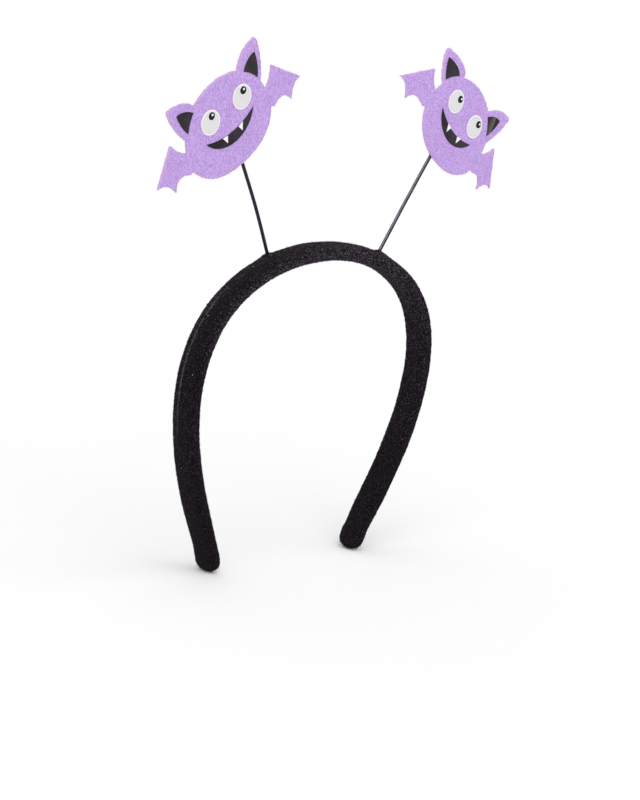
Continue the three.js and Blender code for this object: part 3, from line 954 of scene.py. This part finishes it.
def fillOutline(outline, spacing, insets):
    # the outline's own points, rings just inside it and a staggered grid, joined by Delaunay triangles
    parts = [outline]
    normals = outlineNormals(outline)
    for inset in insets:
        parts.append(wellInside(outline - normals * inset, outline, inset * ringKeep))
    low, high = outline.min(0), outline.max(0)
    rowStep = spacing * math.sqrt(3) / 2
    column, row = np.meshgrid(np.arange(low[0], high[0], spacing), np.arange(low[1], high[1], rowStep))
    shift = (np.arange(column.shape[0]) % 2)[:, None] * spacing / 2
    grid = np.stack([column + shift, row], -1).reshape(-1, 2)
    parts.append(wellInside(grid, outline, max(insets) + spacing * gridKeep))
    flat = join(parts)
    loop = list(range(len(outline)))
    found, _, triangles, *_ = geometry.delaunay_2d_cdt(flat.tolist(), [], [loop], 1, 1e-7)
    flat = np.array([tuple(point) for point in found])
    triangles = np.array(triangles)
    a, b, c = (flat[triangles[:, k]] for k in range(3))
    turn = (b - a)[:, 0] * (c - a)[:, 1] - (b - a)[:, 1] * (c - a)[:, 0]
    triangles[turn < 0] = triangles[turn < 0][:, ::-1]
    return flat, triangles[np.abs(turn) > 1e-9]


def platePiece(outline, low, high, edge, spacing, wallSteps):
    # closed plate over an outline: front and back round off towards the edge and a wall joins them
    flat, triangles = fillOutline(outline, spacing, [edge * share for share in edgeRings])
    away = edgeDistance(flat, outline)
    drop = edge - np.sqrt(np.maximum(edge ** 2 - (edge - np.minimum(away, edge)) ** 2, 0))
    count, rim = len(flat), len(outline)
    levels = np.linspace(high - edge, low + edge, wallSteps + 1)[1:-1]
    walls = [np.column_stack([outline, np.full(rim, level)]) for level in levels]
    faces = [np.column_stack([flat, high - drop]), np.column_stack([flat, low + drop])]
    loop = np.arange(rim)
    rows = [loop] + [2 * count + rim * k + loop for k in range(len(levels))] + [count + loop]
    quads = [np.stack([upper, lower, np.roll(lower, -1), np.roll(upper, -1)], -1)
             for upper, lower in zip(rows[:-1], rows[1:])]
    onWall = np.zeros(rim * len(levels))
    depth = join([away, away, onWall])
    sideOf = join([np.ones(count), -np.ones(count), onWall])
    faceSets = [triangles, triangles[:, ::-1] + count, join(quads)]
    return join(faces + walls), faceSets, depth, sideOf


def bendAbout(points, corner, outward, lie, belongs):
    # what lies beyond a line is drawn out and dropped by shares of its reach, twisted and turned back
    along = (points[:, :2] - corner) @ outward
    across = (points[:, :2] - corner) @ np.array([outward[1], -outward[0]])
    reach = np.where(belongs, np.maximum(along, 0), 0)
    points[:, :2] += (reach * lie.get("longer", 0))[:, None] * outward
    points[:, 1] -= reach * lie.get("drop", 0)
    points[:, 2] += across * math.sin(math.radians(lie.get("twist", 0))) * reach / (reach + twistEase)
    for start, angle in lie["bends"]:
        past = np.where(belongs, np.maximum(along - start, 0), 0)
        soft = past ** 2 / (past + bendEase)
        turn = math.radians(angle)
        points[:, :2] -= (soft * (1 - math.cos(turn)))[:, None] * outward
        points[:, 2] -= soft * math.sin(turn)


def bendCloth(points, v):
    # ears turn about the chord of their base, wings about an upright line at their root
    points = points.copy()
    inner, outer = ovalPoints((ear["innerAngle"], ear["outerAngle"]))
    for label, sign in (("a", -1), ("b", 1)):
        mirror = np.array([sign, 1])
        reach = points[:, 0] * sign
        along = unit((outer - inner) * mirror)
        outward = np.array([-along[1], along[0]]) * sign
        onWing = points[:, 1] < outer[1] - wing["below"] + wing["parting"] * (reach - outer[0])
        onEar = (reach > 0) & ~onWing
        bendAbout(points, (inner + outer) / 2 * mirror, outward, v["ears"][label], onEar)
        root = np.array([wing["root"] * sign, 0])
        bendAbout(points, root, np.array([sign, 0.0]), v["wings"][label], onWing)
    return points


def toPlace(points, v):
    # bent, set upright from the bat's flat frame, rolled about Y and carried to its place
    flat = bendCloth(points, v)
    roll = math.radians(v["roll"])
    x = v["x"] + flat[:, 0] * math.cos(roll) + flat[:, 1] * math.sin(roll)
    y = felt["frontY"] + felt["thickness"] - flat[:, 2]
    z = v["z"] - flat[:, 0] * math.sin(roll) + flat[:, 1] * math.cos(roll)
    return np.stack([x, y, z], -1)


def stemOnBat(side, v):
    # the stem's way over the bat's back: its upper end and its direction, in the flat frame
    middle, heading, half, _ = stemAxis(side)
    roll = math.radians(v["roll"])
    axes = np.array([[math.cos(roll), 0, -math.sin(roll)], [math.sin(roll), 0, math.cos(roll)]])
    end = axes @ (middle + heading * half - np.array([v["x"], 0, v["z"]]))
    return end, axes @ heading


def makeFeltBat(side, v):
    # plate over the wavering outline, matted on both faces, humped on its back along the stem
    sign = sideSigns[side]
    outline = batOutline(felt["step"]) * v["size"] + v["shift"]
    outline = outline + outlineNormals(outline) * waves(outline, felt["waver"], sign)[:, None]
    points, faces, depth, sideOf = platePiece(outline, 0, felt["thickness"], felt["edge"], felt["spacing"],
                                              felt["wallSteps"])
    end, heading = stemOnBat(side, v)
    back = end - points[:, :2]
    along = back @ heading
    off = back[:, 0] * heading[1] - back[:, 1] * heading[0]
    hump = np.clip(1 - (off / felt["ridgeHalf"]) ** 2, 0, 1) ** 2
    length = smoothstep(along, *felt["ridgeRise"]) * (1 - smoothstep(along, *felt["ridgeFall"]))
    ridge = felt["ridgeHeight"] * hump * length * smoothstep(depth, 0, felt["ridgeFade"]) * (sideOf < 0)
    lift = waves(points, felt["relief"], sign) * sideOf * np.minimum(depth / felt["edge"], 1)
    shaped = points.copy()
    shaped[:, 2] += lift - ridge
    wall = (1 - smoothstep(depth, 0.0, felt["wallFade"])) * np.where(sideOf == 0, 1, felt["wallOnFace"])
    attributes = {"feltPlace": points * mm, "cutWall": wall}
    piece = meshPiece(f"felt_{side}", toPlace(shaped, v), faces, lilacFelt, f"bat_felt_{side}",
                      attributes)
    strays = makeFuzz(side, v, outline, fuzz)


fuzz = dict(
    edge=2600, top=2600, length=(0.25, 0.75), shorter=(0.4, 1), width=(0.012, 0.022),
    inset=0.25, sunk=0.1, scatter=0.55,  # on the cut wall
    frontShare=0.6, depth=0.02, rise=(0.1, 0.5),  # on the faces
    droop=0.3, wall=0.3, levels=2, seed=21,
)


def makeFuzz(side, bat, outline, v):
    # stray wool: fibres out of the cut wall and lying loose on both faces
    rng = np.random.default_rng(v["seed"] + sideSigns[side])
    count = v["edge"]
    normals = outlineNormals(outline)
    pick = rng.integers(0, len(outline), count)
    level = rng.uniform(v["inset"], felt["thickness"] - v["inset"], count)
    roots = np.column_stack([outline[pick] - normals[pick] * v["sunk"], level])
    headings = np.column_stack([normals[pick], np.zeros(count)]) + rng.normal(0, v["scatter"], (count, 3))
    spots = rng.uniform(outline.min(0), outline.max(0), (v["top"] * 3, 2))
    spots = wellInside(spots, outline, felt["edge"])[:v["top"]]
    facing = np.where(rng.random(len(spots)) < v["frontShare"], 1.0, -1.0)
    level = np.where(facing > 0, felt["thickness"] - v["depth"], v["depth"])
    roots = join([roots, np.column_stack([spots, level])])
    flatWay = rng.normal(0, 1, (len(spots), 2))
    lying = np.column_stack([flatWay, facing * rng.uniform(*v["rise"], len(spots))])
    headings = unit(join([headings, lying]))
    droop = rng.normal(0, v["droop"], headings.shape)
    droop[count:, 2] = 0
    points, faces = fibreMesh(rng, v, roots, headings, droop)
    attributes = {"feltPlace": points * mm, "cutWall": np.full(len(points), v["wall"])}
    return meshPiece(f"felt_fuzz_{side}", toPlace(points, bat), faces, lilacFelt, None, attributes)


# Faces: thin vinyl on the felt; level is the layer, step and spacing are along the edge and within it

face = dict(thickness=0.2, gap=0.06, sunk=1.5, edge=0.09)  # sunk: gaps that a piece reaches down
eye = dict(radius=5.25, apart=19.2, x=0.8, y=6.9, level=0, step=0.3, spacing=0.4)
pupil = dict(radius=1.65, x=1.4, y=2.25, level=1, step=0.2, spacing=0.3)
glint = dict(radius=0.5, x=0.3, y=0.45, level=2, step=0.12, spacing=0.2)
mouth = dict(
    halfWidth=14.3, y=-0.3, lipDepth=6.2, chinDepth=10.6, chinReach=8.4, level=0, step=0.3, spacing=0.5,
)
fang = dict(
    level=1, step=0.2, spacing=0.3,
    a=dict(x=-4.3, y=-3.1, width=2.9, length=3.1, lean=0.3, slope=-9),
    b=dict(x=5.2, y=-2.9, width=2.8, length=3.0, lean=0.0, slope=13),
)
innerEar = dict(
    level=0, step=0.3, spacing=0.5,
    corners=dict(
        tip=(23.7, 19.8), inner=(15.4, 15.8), outer=(21.2, 9.4),
        tipBow=(19.1, 19.9), outerBow=(23.9, 14.2), baseBow=(19.2, 13.2),
    ),
)
# painted highlight on the vinyl up to a fold across one ear, and a fainter one on the two upper ears
upperEarHighlight = {("left", "b"): 0.085, ("right", "a"): 0.06}
foldHighlight = dict(
    ear=("right", "b"), x=20.4, y=15.1, heading=17.6, before=2.2, after=0.7, strength=0.5,
)


def circle(x, y, v):
    # cosine and sine at equal turns
    count = round(2 * np.pi * v["radius"] / v["step"])
    turn = np.arange(count) / count * 2 * np.pi
    return np.stack([x + v["radius"] * np.cos(turn), y + v["radius"] * np.sin(turn)], -1)


def innerEarOutline(sign, lie, v):
    # three bowed sides, the base and the tip moved by what the ear says, the bows beside the tip half way
    base, top = np.array(lie["vinylBase"]), np.array(lie["vinylTip"])
    moves = {"tip": top, "tipBow": (base + top) / 2, "outerBow": (base + top) / 2}
    spots = {name: np.array(spot) + moves.get(name, base) for name, spot in v["corners"].items()}
    shape = trace(spots, ("inner baseBow outer", "outer outerBow tip", "tip tipBow inner"), v["step"])
    return shape if sign > 0 else (shape * [-1, 1])[::-1]


def mouthOutline(v):
    # crescent: a deep curve to the right under a shallow one back
    left, right = (-v["halfWidth"], v["y"]), (v["halfWidth"], v["y"])
    chin = v["y"] - v["chinDepth"]
    lower = bezier([left, (-v["chinReach"], chin), (v["chinReach"], chin), right], v["step"])
    return join([lower, bezier([right, (0, v["y"] - v["lipDepth"]), left], v["step"])])


def fangOutline(v, step):
    # triangle under a sloping lip
    drop = math.tan(math.radians(v["slope"])) * v["width"] / 2
    left = (v["x"] - v["width"] / 2, v["y"] - drop)
    right = (v["x"] + v["width"] / 2, v["y"] + drop)
    point = (v["x"] + v["lean"], v["y"] - v["length"])
    return join([bezier(side, step) for side in ((left, point), (point, right), (right, left))])


def layFace(name, side, bat, v, outline, material, shades=None):
    # one piece of vinyl on its layer, sunk a little into what lies under it
    high = felt["thickness"] + (v["level"] + 1) * (face["gap"] + face["thickness"])
    low = high - face["thickness"] - face["gap"] * face["sunk"]
    points, faces, _, _ = platePiece(outline, low, high, face["edge"], v["spacing"], 1)
    attributes = {"feltPlace": points * mm}
    attributes.update(shades(points) if shades else {})
    meshPiece(f"{name}_vinyl_{side}", toPlace(points, bat), faces, material, f"{name}_{side}",
              attributes)


def makeFace(side, v):
    # ears, eyes, pupils and glints in pairs, then the mouth and its fangs
    for label, sign in (("a", -1), ("b", 1)):
        eyeX, eyeY = eye["x"] + sign * eye["apart"] / 2, eye["y"]
        pupilX, pupilY = eyeX + pupil["x"], eyeY + pupil["y"]

        def rings(points):
            # distance from the middle of the eye and of the pupil, in radii of the eye
            return {"rimShare": np.hypot(points[:, 0] - eyeX, points[:, 1] - eyeY) / eye["radius"],
                    "haloShare": np.hypot(points[:, 0] - pupilX, points[:, 1] - pupilY) / eye["radius"]}

        def paintedHighlight(points):
            # painted highlight: bell curve across the fold, steeper beyond it
            heading = math.radians(foldHighlight["heading"])
            offset = points[:, :2] * [sign, 1] - [foldHighlight["x"], foldHighlight["y"]]
            past = offset @ [math.cos(heading), math.sin(heading)]
            reach = np.where(past < 0, foldHighlight["before"], foldHighlight["after"])
            strength = foldHighlight["strength"] * ((side, label) == foldHighlight["ear"])
            return {"paintedHighlight": strength * np.exp(-(past / reach) ** 2) + upperEarHighlight.get((side, label), 0)}

        shape = innerEarOutline(sign, v["ears"][label], innerEar)
        layFace(f"inner_ear_{label}", side, v, innerEar, shape, blackVinyl, paintedHighlight)
        shape = circle(eyeX, eyeY, eye)
        layFace(f"eye_{label}", side, v, eye, shape, eyeVinyl, rings)
        shape = circle(pupilX, pupilY, pupil)
        layFace(f"pupil_{label}", side, v, pupil, shape, pupilVinyl)
        shape = circle(pupilX + glint["x"], pupilY + glint["y"], glint)
        layFace(f"glint_{label}", side, v, glint, shape, whiteVinyl)
    layFace("mouth", side, v, mouth, mouthOutline(mouth), blackVinyl)
    for label in ("a", "b"):
        shape = fangOutline(fang[label], fang["step"])
        layFace(f"fang_{label}", side, v, fang, shape, whiteVinyl)


for batSide, placing in bats.items():
    makeFeltBat(batSide, placing)
    makeFace(batSide, placing)
    print("felt bat", batSide)
